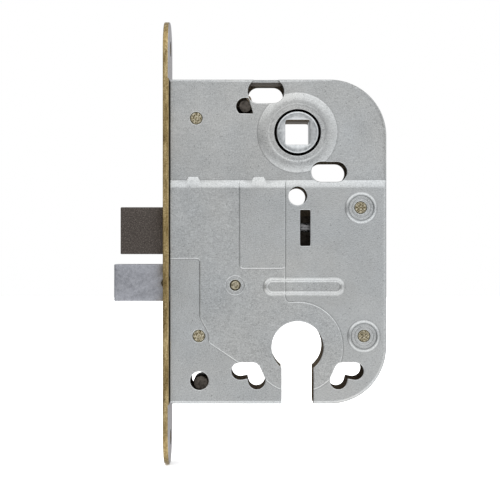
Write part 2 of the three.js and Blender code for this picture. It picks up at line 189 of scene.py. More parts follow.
def distance(points, outline, closed=True):
    """How far each point lies from an outline's edge."""
    a = outline if closed else outline[:-1]
    b = np.roll(outline, -1, 0) if closed else outline[1:]
    edge = b - a
    length = np.maximum((edge ** 2).sum(1), 1e-12)
    t = np.clip(((points[:, None] - a) * edge).sum(2) / length, 0, 1)
    gap = points[:, None] - (a + t[..., None] * edge)
    return np.sqrt((gap ** 2).sum(2)).min(1)


def depth_inside(points, outline):
    """Distance to the edge, positive inside the outline."""
    return np.where(inside(points, outline), 1, -1) * distance(points, outline)


def ease(t):
    t = np.clip(t, 0, 1)
    return t * t * (3 - 2 * t)


# ---------------- the holes in the case

BARREL, NECK = 8.65, 5.3  # the cylinder cut-out's radius, and half the width of its neck
HUB_HOLE = 7.75  # radius
ROSE_HOLE, ROSE_SIZE = np.array([10.6, -13.2]), (12, 6.7)  # from the hub, with one opposite, and its size
MIDDLE_HOLE, MIDDLE_RADIUS = HUB + (0, -21.3), 3.1
CORNER_HOLE, CORNER_RADIUS = HUB + (-32.9, -83.2), 3.05
LOBE, ELBOW = 2.85, 2.45  # radii of a lobed hole's two lobes, and of the elbow between them
POST_NECK, PIN_NECK = 1.95, 1.5  # radii that show in the case's faces
POST_HOLE, PIN_HOLE = 2.05, 1.78
WINDOW = (45.9, -38, 49.2, -26)  # left, bottom, right and top of the opening over the latch's tail
D_RADIUS, D_CORNER = 2.9, (2.75, -2.35)  # the round side and the corner of the hole over the peg
PAST_EDGE = 3  # how far an open cut runs out beyond the sheet


def case_outline(inset=0):
    rear, bottom, top = REAR - CORNER, BOTTOM + CORNER, TOP - CORNER
    radius = CORNER - inset
    return np.concatenate([
        [[FRONT, BOTTOM + inset]],
        arc((rear, bottom), radius, -90, 0, 24),
        arc((rear, top), radius, 0, 90, 24),
        [[FRONT, TOP - inset]],
    ])


def cylinder_cut(grow=0):
    radius, neck = BARREL + grow, NECK + grow
    lean = math.degrees(math.asin(neck / radius))
    x, low = CYLINDER[0], BOTTOM - PAST_EDGE
    round_part = arc(CYLINDER, radius, -90 + lean, 270 - lean, 60)
    return np.concatenate([round_part, [[x - neck, low], [x + neck, low]]])


def lobed_hole(side, grow=0):
    outer = CYLINDER + (side * 19.3, -8)
    inner = CYLINDER + (side * 13.7, -11.2)
    elbow = CYLINDER + (side * 14.9, -7.6)
    return [arm(lobe, LOBE + grow, elbow, ELBOW + grow) for lobe in (outer, inner)]


def through_holes(grow=0):
    """Holes that run through both sides of the case."""
    width, height = ROSE_SIZE
    return [
        cylinder_cut(grow),
        circle(HUB, HUB_HOLE + grow),
        slot(HUB + ROSE_HOLE, width + 2 * grow, height + 2 * grow),
        slot(HUB - ROSE_HOLE, width + 2 * grow, height + 2 * grow),
        circle(MIDDLE_HOLE, MIDDLE_RADIUS + grow, 48),
        circle(CORNER_HOLE, CORNER_RADIUS + grow, 48),
        *lobed_hole(-1, grow),
        *lobed_hole(1, grow),
    ]


def pin_holes(grow=0):
    necks = [circle(centre_of(post), POST_HOLE + grow, 36) for post in POSTS]
    return [*necks, circle(GUIDE_PIN, PIN_HOLE + grow, 36)]


def top_notch(grow=0):
    """The arch in which the upper rose hole runs out through the bend at the top."""
    centre = HUB - ROSE_HOLE
    half = ROSE_SIZE[0] / 2 + 0.05 + grow
    height = TOP + 0.35 - centre[1] + grow
    mouth = 0.8  # share of the height where the arch's sides turn upright
    fullness = 0.78  # 1 gives an ellipse, and less gives squarer shoulders
    side = arc((0, 0), 1, 0, 90, 24)
    side = side[side[:, 1] < mouth] ** fullness * (half, height)
    right = np.concatenate([side, [[side[-1, 0], TOP + PAST_EDGE - centre[1]]]])
    return centre + np.concatenate([right, right[::-1] * (-1, 1)])


def front_holes(grow=0):
    """Holes in the stamped side only: the peg's D-shaped hole, the tail's window and the top notch."""
    centre = centre_of("stop_peg") - (0.15, 0.25)
    corner = centre + D_CORNER + (grow, -grow)
    d_shape = np.concatenate([arc(centre, D_RADIUS + grow, 66, 232, 40), [corner]])
    d_shape[:, 1] = np.maximum(d_shape[:, 1], corner[1])
    return [d_shape, rounded(rectangle(*WINDOW, grow), 0.35), top_notch(grow)]


# ---------------- height of the stamped side

UPPER_LEVEL, LOWER_LEVEL = -0.45, 0.35  # of the two halves of the sheet, with a sloping step between
STEP_TOP, STEP_BOTTOM = -15.9, -18.6
TONGUES = [(7.6, 12.4), (29.5, 34.5)]  # left and right x of each
TONGUE_LIFT = 1.1  # how far the two tongues reach up into the upper half
TONGUE_SIDE = 0.9  # width of a tongue's sloping side
STEP_CURVE, RING_CURVE = 1.4, 1.6  # 1 gives a straight slope, and more eases it off at its crest
PANEL_STEP, INNER_STEP = 0.2, 0.16
LINE = 0.42  # width of a shallow step
CAM_RADIUS = 15.2  # of the panel's round part, over the cylinder's cam
PANEL_REAR = 40.8  # x of the panel's upright rear edge


def panel():
    """The raised field over the bolts and round the cylinder cut-out."""
    x, z = CYLINDER
    top, left = STEP_TOP + 1, FRONT - PAST_EDGE
    return np.concatenate([
        [[left, top], [PANEL_REAR, top], [PANEL_REAR, -55.2], [41.1, -56.1], [41.9, -56.9]],
        arc(CYLINDER, CAM_RADIUS, 97, -66, 44),
        [[x, z - CAM_RADIUS]],
        arc(CYLINDER, CAM_RADIUS, -114, -150, 12),
        [[25.0, -77.0], [15.5, -70.5], [15.3, -69.5], [15.2, -67.6], [14.4, -65.6], [13.2, -63.6]],
        [[12.4, -61.8], [12.3, -61.0], [12.3, -43.3], [12.0, -42.6], [11.3, -42.3], [left, -42.3]],
    ])


def inner_field():
    return rounded(rectangle(25.65, -45.6, PANEL_REAR, STEP_TOP + 1), [1.3, 1.3, 0, 0])


def long_bead(inset=0):
    return slot(np.array([47.2, -51.7]), 27.7 - 2 * inset, 6.6 - 2 * inset, 18)


BEAD_RISE, BEAD_FLANK, BEAD_HOLLOW = 0.75, 1.15, 0.3
RING_FOOT, RING_CREST, RING_RISE = 13.55, 10.6, 0.55  # round the hub
POST_RINGS = [(REAR_TOP + (0.2, -0.1), 5.5), (REAR_BOTTOM + (0, -0.1), 5.6)]  # centre and foot radius
POST_RISE, POST_DISH = 0.5, 0.4
STAKE_LINE = 3.15  # radius of the fine line pressed round each rear post
PIN_DISH = 3.3  # radius of the flat dish round the guide pin


def front_height(points):
    """How far the stamped side stands out from its flat plane."""
    x, z = points[:, 0], points[:, 1]
    lift = sum(ease((x - left) / TONGUE_SIDE) * ease((right - x) / TONGUE_SIDE) for left, right in TONGUES)
    edge = STEP_TOP + TONGUE_LIFT * lift
    down = np.clip((edge - z) / (edge - STEP_BOTTOM), 0, 1)
    lower = 1 - (1 - down) ** STEP_CURVE
    raised = ease(depth_inside(points, panel()) / LINE + 0.5) - 1
    field = ease(depth_inside(points, inner_field()) / LINE + 0.5)
    height = UPPER_LEVEL + lower * (LOWER_LEVEL - UPPER_LEVEL + PANEL_STEP * raised + INNER_STEP * field)

    from_hub = np.hypot(*(points - HUB).T)
    slope = np.clip((RING_FOOT - from_hub) / (RING_FOOT - RING_CREST), 0, 1)
    height += RING_RISE * (1 - (1 - slope) ** RING_CURVE)
    height -= 0.12 * ease((10 - from_hub) / 0.8)

    bead = depth_inside(points, long_bead())
    height += BEAD_RISE * ease(bead / BEAD_FLANK) - BEAD_HOLLOW * ease((bead - 1.2) / 0.75)

    for centre, foot in POST_RINGS:
        away = np.hypot(*(points - centre).T)
        height += POST_RISE * ease(foot - away) - POST_DISH * ease((foot - 1.05 - away) / 0.3)
        height -= 0.05 * np.clip(1 - np.abs(away - STAKE_LINE) / 0.22, 0, 1)
    from_pin = np.hypot(*(points - GUIDE_PIN).T)
    height -= 0.1 * ease((PIN_DISH - from_pin) / 0.3)
    return height


def painted_crease_shade(points):
    """How much painted shade darkens the hollow foot of each raised shape, from 0 to 1."""
    reach = 0.22
    around = [front_height(points + arc((0, 0), reach, turn, turn, 1)) for turn in range(0, 360, 60)]
    return np.clip((np.mean(around, 0) - front_height(points)) / 0.03, 0, 1)


EDGE = 0.3  # width of the rounded lip of a punched hole
LIP = [0, 0.03, 0.1, 0.2, EDGE, EDGE + 0.1]


def round_off(away, radius):
    """How far a rounded edge falls back at a distance from the edge."""
    across = np.clip(radius - away, 0, radius)
    return radius - np.sqrt(radius ** 2 - across ** 2)


def edge_drop(points, holes, depth=EDGE):
    """The rounded lip around punched holes."""
    drop = np.zeros(len(points))
    for hole in holes:
        away = np.where(inside(points, hole), 0, distance(points, hole))
        drop = np.maximum(drop, round_off(away, EDGE) * depth / EDGE)
    return drop


def front_lines():
    """Every line where the stamped side's height changes, with a guard line beside each change."""
    lines = [case_outline(inset) for inset in (0, 0.02, 0.1, 0.26, 0.5, BEND, BEND + 0.15)]
    for grow in LIP:
        lines += through_holes(grow) + pin_holes(grow) + front_holes(grow)
    slope = np.linspace(STEP_BOTTOM, STEP_TOP - 0.3, 10)
    crease = np.array([-0.25, -0.15, 0, 0.15, 0.25])
    for z in [STEP_BOTTOM - 0.2, *slope, *(STEP_TOP + crease), *(STEP_TOP + TONGUE_LIFT + crease)]:
        lines.append(np.array([[FRONT, z], [REAR, z]]))
    for left, right in TONGUES:
        for reach in (0, 0.2, 0.4, 0.6, TONGUE_SIDE):
            for x in (left + reach, right - reach):
                lines.append(np.array([[x, STEP_BOTTOM], [x, STEP_TOP + TONGUE_LIFT + 0.25]]))
    for shift in (-1.2, -0.7, -0.5, -0.25, 0, 0.25, 0.5, 0.7, 1.2):
        lines += [grown(panel(), LINE * shift), grown(inner_field(), LINE * shift)]

    outside = (-0.3, -0.15)  # guard lines beyond the foot of a raised shape
    hub_rings = [RING_FOOT - inset for inset in (-0.27, -0.15, 0, 0.25)]
    hub_rings += [*np.arange(12.9, 11.3, -0.5), 11, 10.8, RING_CREST, *np.arange(10.2, 8.9, -0.2)]
    lines += [circle(HUB, radius, 96) for radius in hub_rings]
    bead_insets = (*outside, 0, 0.25, 0.5, 0.8, 1.0, BEAD_FLANK, 1.3, 1.5, 1.7, 1.95, 2.2)
    lines += [long_bead(inset) for inset in bead_insets]
    for centre, foot in POST_RINGS:
        foot_insets = (*outside, 0, 0.2, 0.4, 0.6, 0.8, 1, 1.1, 1.2, 1.3, 1.38, 1.6)
        lines += [circle(centre, foot - inset) for inset in foot_insets]
        lines += [circle(centre, STAKE_LINE - inset) for inset in (-0.3, -0.15, 0, 0.15, 0.3)]
    pin_insets = (*outside, 0, 0.1, 0.2, 0.3, 0.45, 0.6)
    lines += [circle(GUIDE_PIN, PIN_DISH - inset, 48) for inset in pin_insets]
    return lines


# ---------------- sheet meshes

def triangulate(lines, fill, outline, holes):
    """Points and triangles that follow every line, inside the outline and outside the holes."""
    points, edges = [], []
    for line in lines:
        start, count = len(points), len(line)
        points += [Vector(point) for point in line]
        edges += [(start + i, start + (i + 1) % count) for i in range(count if count > 2 else 1)]
    low, high = outline.min(0), outline.max(0)
    for x in np.arange(low[0] + fill / 2, high[0], fill):
        points += [Vector((x, z)) for z in np.arange(low[1] + fill / 2, high[1], fill)]
    verts, _, faces, *_ = delaunay_2d_cdt(points, edges, [], 0, 1e-4, False)
    flat = np.array([tuple(vert) for vert in verts])
    triangles = np.array([face for face in faces if len(face) == 3])
    middles = flat[triangles].mean(1)
    keep = inside(middles, outline)
    for hole in holes:
        keep &= ~inside(middles, hole)
    return flat, triangles[keep]


def add_object(name, verts, faces):
    mesh = bpy.data.meshes.new(name)
    mesh.from_pydata([tuple(float(value) * MM for value in vert) for vert in verts], [], faces)
    mesh.update()
    thing = bpy.data.objects.new(name, mesh)
    bpy.context.scene.collection.objects.link(thing)
    return thing


def tidy(thing, sharp=38):
    """Drops loose points, then shades smooth except across edges sharper than an angle in degrees."""
    work = bmesh.new()
    work.from_mesh(thing.data)
    bmesh.ops.delete(work, geom=[vert for vert in work.verts if not vert.link_faces], context="VERTS")
    bmesh.ops.dissolve_degenerate(work, dist=1e-7, edges=work.edges)
    for face in work.faces:
        face.smooth = True
    for edge in work.edges:
        edge.smooth = len(edge.link_faces) == 2 and edge.calc_face_angle(0) < math.radians(sharp)
    work.to_mesh(thing.data)
    work.free()
    return thing


def apply_modifiers(thing):
    shape = thing.evaluated_get(bpy.context.evaluated_depsgraph_get())
    mesh = bpy.data.meshes.new_from_object(shape)
    thing.modifiers.clear()
    thing.data = mesh
    return thing


def soften_edges(thing, width, segments, angle):
    """Adds a bevel to the edges that are sharper than an angle in degrees."""
    bevel = thing.modifiers.new("edges", "BEVEL")
    bevel.width = width * MM
    bevel.segments = segments
    bevel.limit_method = "ANGLE"
    bevel.angle_limit = math.radians(angle)


def travel_along(point, outline):
    """How far along an open outline its nearest place to a point lies."""
    edge = np.diff(outline, axis=0)
    steps = np.hypot(*edge.T)
    t = np.clip(((point - outline[:-1]) * edge).sum(1) / (edge ** 2).sum(1), 0, 1)
    nearest = int(np.hypot(*(point - outline[:-1] - t[:, None] * edge).T).argmin())
    return steps[:nearest].sum() + t[nearest] * steps[nearest]


WALL_CUT = -5.6  # y down to which the top notch cuts into the top wall


def wall_mesh(rim, flat, verts):
    """Adds the walls' points below the sheet's rim and returns their faces."""
    columns = []
    for i in rim:
        x, z = flat[i]
        columns.append([int(i), len(verts), len(verts) + 1])
        verts += [(x, WALL_CUT, z), (x, CASE_HIGH[1], z)]
    faces = []
    for first, second in zip(columns, columns[1:]):
        middle = (flat[first[0]] + flat[second[0]])[None] / 2
        if inside(middle, cylinder_cut())[0]:
            continue
        notched = inside(middle, top_notch())[0]
        for level in (1,) if notched else (0, 1):
            faces.append((second[level], first[level], first[level + 1], second[level + 1]))
    return faces


def build_case():
    """The stamped front sheet with its three walls, bent from one piece."""
    outline = case_outline()
    holes = through_holes() + pin_holes() + front_holes()
    flat, triangles = triangulate(front_lines(), 4.0, outline, holes)
    from_rim = distance(flat, outline, closed=False)
    y = -FACE - front_height(flat) * ease(from_rim / BEND - 0.05)
    y = y + round_off(from_rim, BEND) + edge_drop(flat, holes)
    on_rim = from_rim < 1e-3
    y[on_rim] = -FACE + BEND
    verts = [(x, depth, z) for (x, z), depth in zip(flat, y)]
    faces = [tuple(int(i) for i in triangle) for triangle in triangles]
    rim = sorted(np.flatnonzero(on_rim), key=lambda i: travel_along(flat[i], outline))
    faces += wall_mesh(rim, flat, verts)

    case = add_object("case_shell", verts, faces)
    # Painted shade in the hollow feet of the raised shapes, kept as a point attribute for the sheet's material.
    crease_shade = np.zeros(len(verts))
    crease_shade[:len(flat)] = painted_crease_shade(flat)
    case.data.attributes.new("crease_shade", "FLOAT", "POINT").data.foreach_set("value", crease_shade)
    tidy(case)
    solidify = case.modifiers.new("sheet", "SOLIDIFY")
    solidify.thickness = SHEET * MM
    solidify.offset = -1
    apply_modifiers(case)
    return tidy(case)


def build_plate(name, lines, fill, outline, holes, near, far, place):
    """A closed plate. The near and far functions give each side's height, and place puts it in 3-D."""
    flat, triangles = triangulate(lines, fill, outline, holes)
    count = len(flat)
    verts = [place(point, height) for point, height in zip(flat, near(flat))]
    verts += [place(point, height) for point, height in zip(flat, far(flat))]
    faces = [tuple(int(i) for i in triangle) for triangle in triangles]
    borders = dict.fromkeys((triangle[i], triangle[(i + 1) % 3]) for triangle in faces for i in range(3))
    rims = [(b, a, a + count, b + count) for a, b in borders if (b, a) not in borders]
    faces += [(c + count, b + count, a + count) for a, b, c in faces] + rims
    return tidy(add_object(name, verts, faces))


# ---------------- forend

BOLTS = ["latch_head", "deadbolt_head"]
BOLT_GAP = 0.3  # between a bolt and its opening in the forend
FOREND_EDGE = 0.45  # radius of the forend's rounded edges
SHADED_CORNER = 1.4  # width of the black painted shade on the forend along each side of the case


def countersinks():
    """Centre, drill radius and mouth radius of each hole in the forend."""
    low, high = FOREND_LOW[2], FOREND_HIGH[2]
    screws = [((0, z), 2.6, 4.8) for z in (high - 9, low + 9)]
    case_screws = [((0, centre_of(node)[1]), 1.9, 3.6) for node in CASE_SCREWS]
    return [*screws, *case_screws, ((0, CYLINDER[1]), 2.75, 4.6)]


def build_forend():
    width, low, high = FOREND_HIGH[1], FOREND_LOW[2], FOREND_HIGH[2]
    thickness = FOREND_HIGH[0]

    def outline(inset=0):
        radius = width - inset
        return np.concatenate([arc((0, high - width), radius, 0, 180, 48),
                               arc((0, low + width), radius, 180, 360, 48)])

    def mouth(node, grow=0):
        least, most = box_mm(node)
        return rounded(rectangle(-most[1], least[2], most[1], most[2], BOLT_GAP + grow), 0.5)

    lines = [outline(inset) for inset in (0, 0.03, 0.13, 0.27, FOREND_EDGE, FOREND_EDGE + 0.2)]
    for grow in (0, 0.06, 0.15, 0.3):
        lines += [mouth(node, grow) for node in BOLTS]
    # Lines that bound the black painted shade behind and beside the case.
    lines += [np.array([(-width, z), (width, z)]) for z in (BOTTOM, TOP)]
    lines += [np.array([(y, BOTTOM), (y, TOP)]) for y in (-FACE - SHADED_CORNER, FACE + SHADED_CORNER)]
    for centre, drill, wide in countersinks():
        radii = (drill, (drill + wide) / 2, wide - 0.1, wide, wide + 0.2)
        lines += [circle(centre, radius, 40) for radius in radii]
    mouths = [mouth(node) for node in BOLTS]
    holes = mouths + [circle(centre, drill, 40) for centre, drill, _ in countersinks()]

    def outer(flat):
        height = round_off(distance(flat, outline()), FOREND_EDGE) + edge_drop(flat, mouths, 0.15)
        for centre, drill, wide in countersinks():
            away = np.hypot(*(flat - centre).T)
            deepest = min(wide - drill, thickness - 0.2)
            height = np.maximum(height, (wide - away) / (wide - drill) * deepest)
        return height

    def inner(flat):
        return thickness - round_off(distance(flat, outline()), FOREND_EDGE)

    def place(point, height):
        return (height, point[0], point[1])

    # Seen from outside, y runs the other way round, so the two sides swap.
    return build_plate("forend_plate", lines, 3.0, outline(), holes, inner, outer, place)


COVER_RING, COVER_SINK = 12.4, 0.3  # radius and depth of the shallow dish round the hub


def build_back_cover():
    """The plain sheet on the far side."""
    inner_face, outer_face = COVER_LOW[1], COVER_HIGH[1]
    outline = case_outline()
    edge = 0.35

    def all_holes(grow=0):
        stop = circle(centre_of("latch_spring_stop"), 1.2 + grow, 28)
        return through_holes(grow) + pin_holes(grow) + [stop]

    lines = [case_outline(inset) for inset in (0, 0.03, 0.12, edge, edge + 0.2)]
    for grow in LIP:
        lines += all_holes(grow)
    lines += [circle(HUB, COVER_RING + shift, 96) for shift in (0.2, 0, -0.5, -1, -1.2, -1.4)]

    def outside(flat):
        turned = round_off(distance(flat, outline), edge)
        from_hub = np.hypot(*(flat - HUB).T)
        sunk = COVER_SINK * ease((COVER_RING - from_hub) / 1.2)
        return outer_face - sunk - turned - edge_drop(flat, all_holes())

    def inside_face(flat):
        return np.full(len(flat), inner_face)

    def place(point, height):
        return (point[0], height, point[1])

    return build_plate("cover_plate", lines, 4.0, outline, all_holes(), inside_face, outside, place)


# ---------------- turned and bent pieces

def ring_faces(rings, count, loop=False):
    """Quads between neighbouring rings of points, and from the last ring to the first in a loop."""
    faces = []
    for k in range(rings if loop else rings - 1):
        a, b = k * count, (k + 1) % rings * count
        faces += [(a + i, a + (i + 1) % count, b + (i + 1) % count, b + i) for i in range(count)]
    return faces


def outward_normals(thing):
    work = bmesh.new()
    work.from_mesh(thing.data)
    bmesh.ops.recalc_face_normals(work, faces=work.faces)
    work.to_mesh(thing.data)
    work.free()


def closed_tube(name, verts, count):
    """A piece from rings of points, count points to a ring, with a flat face over each end."""
    ends = [tuple(range(count)), tuple(range(len(verts) - count, len(verts)))]
    thing = add_object(name, verts, ring_faces(len(verts) // count, count) + ends)
    outward_normals(thing)
    return thing


def bar_from(outline, near, far, name, axis=1):
    """A straight piece along an axis, whose section is an outline in the other two."""
    verts = [np.insert(point, axis, level) for level in (near, far) for point in outline]
    return closed_tube(name, verts, len(outline))


def combine(thing, other, how):
    """Joins the other shape to the thing or cuts it away, and uses the other one up."""
    change = thing.modifiers.new("combine", "BOOLEAN")
    change.operation = how
    change.solver = "EXACT"
    change.object = other
    apply_modifiers(thing)
    bpy.data.objects.remove(other)


def disc_grid(count):
    """A square grid pressed into a unit disc, its faces, and its rim in order."""
    u, v = np.meshgrid(np.linspace(-1, 1, count + 1), np.linspace(-1, 1, count + 1), indexing="ij")
    points = np.stack([u * np.sqrt(1 - v ** 2 / 2), v * np.sqrt(1 - u ** 2 / 2)], 2).reshape(-1, 2)
    side = count + 1
    quads = [(i * side + j, (i + 1) * side + j, (i + 1) * side + j + 1, i * side + j + 1)
             for i in range(count) for j in range(count)]
    rim = [i * side for i in range(count)] + [count * side + j for j in range(count)]
    rim += [(count - i) * side + count for i in range(count)] + [count - j for j in range(count)]
    return points, quads, rim


def turned_bar(name, centre, profile, surface, count):
    """A bar along y from rings of radius and y, closed by two discs with a surface height."""
    points, quads, rim = disc_grid(count)
    verts, faces, rings = [], [], []
    for (radius, y), outward in ((profile[0], -1), (profile[-1], 1)):
        start = len(verts)
        for point in points * radius:
            verts.append((centre[0] + point[0], y + outward * surface(point, radius), centre[1] + point[1]))
        faces += [tuple(start + i for i in quad[::-outward]) for quad in quads]
        rings.append([start + i for i in rim])
    unit = points[rim]
    middle = []
    for radius, y in profile[1:-1]:
        middle.append(list(range(len(verts), len(verts) + len(unit))))
        verts += [(centre[0] + u * radius, y, centre[1] + v * radius) for u, v in unit]
    chain = [rings[0], *middle, rings[1]]
    for first, second in zip(chain, chain[1:]):
        for i in range(len(first)):
            j = (i + 1) % len(first)
            faces.append((first[j], first[i], second[i], second[j]))
    return tidy(add_object(name, verts, faces), sharp=50)


def staked(turn):
    """A peened end, cut across by a grid of V-shaped grooves."""
    c, s = math.cos(turn), math.sin(turn)
    crown, lift, groove = 0.12, 0.12, 0.34
    half_width = 0.27  # of a groove, as a share of the grooves' spacing

    def surface(point, radius):
        u, v = (point[0] * c + point[1] * s) / radius, (point[1] * c - point[0] * s) / radius
        away = math.hypot(u, v)
        if away > 0.985:
            return 0.0
        depth = 0.0
        for value, cuts in ((u, 3), (v, 4)):
            phase = (value * cuts / 2 * 0.92 + 0.5 * (cuts % 2)) % 1
            depth = max(depth, 1 - min(phase, 1 - phase) / half_width)
        fade = 1 if away < 0.92 else 0.4
        return crown * (1 - away ** 4) + lift - groove * depth * fade

    return surface


def plain_end(point, radius):
    return 0.0


def build_post(node, turn):
    """A post or the guide pin: a body between the two sheets, and a neck through each."""
    low, high = box_mm(node)
    shoulder = (high[0] - low[0]) / 2
    centre = centre_of(node)
    far, rest = high[1] - 0.12, CASE_HIGH[1] - 0.15
    near = FACE + float(front_height(centre[None])[0]) - 0.02
    if node == "bolt_guide_pin":
        neck, lip, near, surface = PIN_NECK, 0.4, near + 0.3, plain_end
    else:
        neck, lip, surface = POST_NECK, 0.12, staked(turn)
    near_rest = near - 1.3  # where the body starts, behind the stamped sheet
    edge, far_edge = 0.15, 0.12
    profile = [(neck - lip, -near), (neck, -near + lip), (neck, -near_rest), (shoulder - edge, -near_rest)]
    profile += [(shoulder, -near_rest + edge), (shoulder, rest - edge), (shoulder - edge, rest)]
    profile += [(neck, rest), (neck, far - far_edge), (neck - far_edge, far)]
    return turned_bar(piece_name(node), centre, profile, surface, count=36)


def build_plain_pin(node, radius, near_chamfer=0.35):
    """A round piece with a chamfer at its near end."""
    low, high = box_mm(node)
    near, far = low[1], high[1]
    profile = [(radius - near_chamfer, near), (radius, near + near_chamfer)]
    profile += [(radius, far - 0.1), (radius - 0.1, far)]
    return turned_bar(piece_name(node), centre_of(node), profile, plain_end, count=12)


HUB_BOSS = 7.0  # radius of the bosses that show in the case's two round holes


def square_ring(half, corner, turns):
    """Radii of a rounded square at each angle."""
    power = 2 / corner
    return half / (np.abs(np.cos(turns)) ** power + np.abs(np.sin(turns)) ** power) ** (1 / power)


def build_hub():
    """The hub's body with its two bosses and square hole, and its two arms."""
    end = box_mm("hub")[1][1]
    body, boss, half, inner = 9.5, HUB_BOSS, 4.15, 6.0
    count = 96
    turns = np.linspace(0, 2 * math.pi, count, endpoint=False)

    groove = [(body, inner - 0.3), (body - 0.3, inner), (boss + 1.5, inner), (boss + 1.5, inner - 2.5),
              (boss, inner - 2.5)]
    face = [(boss, end - 0.3), (boss - 0.1, end - 0.1), (boss - 0.35, end), (6.4, end), (6.32, end - 0.1),
            (6.2, end - 0.1), (6.12, end), (5.9, end)]
    square = [(square_ring(half + 0.08, 0.15, turns), end), (square_ring(half, 0.14, turns), end - 0.08)]
    near_half = groove + face + square
    rings = [(radii, -y) for radii, y in near_half] + near_half[::-1]
    verts = []
    for radii, y in rings:
        radii = np.broadcast_to(radii, turns.shape)
        verts += [(HUB[0] + r * math.cos(t), y, HUB[1] + r * math.sin(t)) for r, t in zip(radii, turns)]
    hub = tidy(add_object("hub-turned", verts, ring_faces(len(rings), count, loop=True)), sharp=50)
    outward_normals(hub)

    pin, lug = HUB + (-22, -11), HUB + (12.5, -4.55)
    arms = [bar_from(arm(HUB, 5.5, pin, 2.5), 1.6, 5.2, "hub-arm"),
            bar_from(arm(HUB, 5.5, lug, 1.5), -2, 2, "hub-lug"),
            bar_from(circle(pin, 1.8, 28), -1.6, 1.8, "hub-pin")]
    for piece in arms[:2]:
        combine(piece, bar_from(circle(HUB, 6.4, 40), -FACE * 2, FACE * 2, "hub-bore"), "DIFFERENCE")
    for piece in arms:
        combine(hub, piece, "UNION")
    return tidy(hub, sharp=50)


def build_spring(node, axis, outer, wire, turns):
    """A coil spring with closed, ground ends between the two ends of its CAD box."""
    low, high = box_mm(node)
    middle = (low + high) / 2
    length = high[axis] - low[axis] - wire
    steps, sides = int(turns * 28), 10
    radius = (outer - wire) / 2
    across = [i for i in range(3) if i != axis]
    verts = []
    lead = 0.12  # share of the turns that lie flat at each end
    for k in range(steps + 1):
        t = k / steps
        angle = 2 * math.pi * turns * t
        eased = ease((t - lead) / (1 - 2 * lead))
        even = np.clip((t - lead * 0.6) / (1 - 1.2 * lead), 0, 1)
        rise = float(eased * 0.25 + even * 0.75) * length
        out = np.array([math.cos(angle), math.sin(angle)])
        for side in range(sides):
            turn = 2 * math.pi * side / sides
            point = np.zeros(3)
            point[across] = middle[across] + out * (radius + wire / 2 * math.cos(turn))
            point[axis] = low[axis] + wire / 2 + rise + wire / 2 * math.sin(turn)
            verts.append(tuple(point))
    return tidy(closed_tube(piece_name(node), verts, sides), sharp=60)


def build_bolt(node, outline, edge):
    """A bolt head: an outline in x and y, as high as its CAD box, with softened edges and a slot behind."""
    low, high = box_mm(node)
    head = bar_from(np.array(outline), low[2], high[2], piece_name(node), axis=2)
    tail_slot = rectangle(high[0] - 6, low[2] - 1, high[0] + 1, high[2] + 1)
    combine(head, bar_from(tail_slot, -1.3, 1.3, "slot-cut"), "DIFFERENCE")
    rivet_hole = circle(centre_of(node.replace("head", "rivet")), 1.6, 28)
    combine(head, bar_from(rivet_hole, -9, 9, "rivet-cut"), "DIFFERENCE")
    soften_edges(head, edge, 3, 35)
    return tidy(apply_modifiers(head), sharp=60)


def build_tail_rib():
    """A pressed rib across the rear end of the latch's tail, seen through the window."""
    surface = box_mm("latch_tail")[0][1]
    rise, half_width, z = 1.1, 1.5, -31.7
    sections = [(43.5, 0.15), (43.7, 0.6), (44.2, 0.9), (45, 1)]  # x and size, from the front end
    sections += [(51, 1), (51.8, 0.9), (52.3, 0.6), (52.5, 0.15)]
    profile = arc((0, 0), 1, 90, 270, 17) * (rise, half_width)
    verts = [(x, surface + out * size, z + up * size) for x, size in sections for out, up in profile]
    return tidy(closed_tube("tail-rib", verts, len(profile)), sharp=60)


def build_case_screw(node):
    """A countersunk screw head with a cross recess, and its threaded shank."""
    low, high = box_mm(node)
    z = (low[2] + high[2]) / 2
    start, end = low[0], high[0]
    profile = [(3.3, start), (3.4, start + 0.08), (3.35, start + 0.2), (1.9, start + 1.5)]
    profile.append((1.5, start + 1.75))
    pitch = 0.7
    x = start + 1.9
    while x < end - 0.5:
        profile += [(1.3, x), (1.55, x + pitch / 2)]
        x += pitch
    profile += [(1.25, end - 0.15), (0.9, end)]
    unit = circle((0, 0), 1, 32)
    verts = [(x, radius * y, z + radius * rise) for radius, x in profile for y, rise in unit]
    screw = closed_tube(piece_name(node), verts, len(unit))
    long, short, deep = 1.9, 0.32, 0.9
    for half_y, half_z in ((long, short), (short, long)):
        arm_outline = rectangle(start - 1, z - half_z, start + deep, z + half_z)
        combine(screw, bar_from(arm_outline, -half_y, half_y, "recess-cut"), "DIFFERENCE")
    return tidy(screw, sharp=40)


# ---------------- materials

def linear(colour):
    """A screen colour from 0 to 255 as the linear colour that shaders use."""
    shares = [value / 255 for value in colour]
    return tuple(v / 12.92 if v <= 0.04045 else ((v + 0.055) / 1.055) ** 2.4 for v in shares) + (1.0,)


def scaled(colour, by):
    return [min(255, value * by) for value in colour]


class Nodes:
    """A short way to write a node tree."""

    def __init__(self, tree):
        self.tree = tree

    def add(self, kind, inputs=(), **settings):
        node = self.tree.nodes.new(kind)
        for key, value in settings.items():
            setattr(node, key, value)
        for key, value in dict(inputs).items():
            if isinstance(value, bpy.types.NodeSocket):
                self.tree.links.new(value, node.inputs[key])
            else:
                node.inputs[key].default_value = value
        return node

    def ramp(self, value, *stops):
        """Stops are a position and a linear colour."""
        node = self.add("ShaderNodeValToRGB", {"Fac": value})
        elements = node.color_ramp.elements
        elements[0].position, elements[1].position = stops[0][0], stops[-1][0]
        for position, _ in stops[1:-1]:
            elements.new(position)
        for element, (_, colour) in zip(elements, stops):
            element.color = colour
        return node.outputs["Color"]


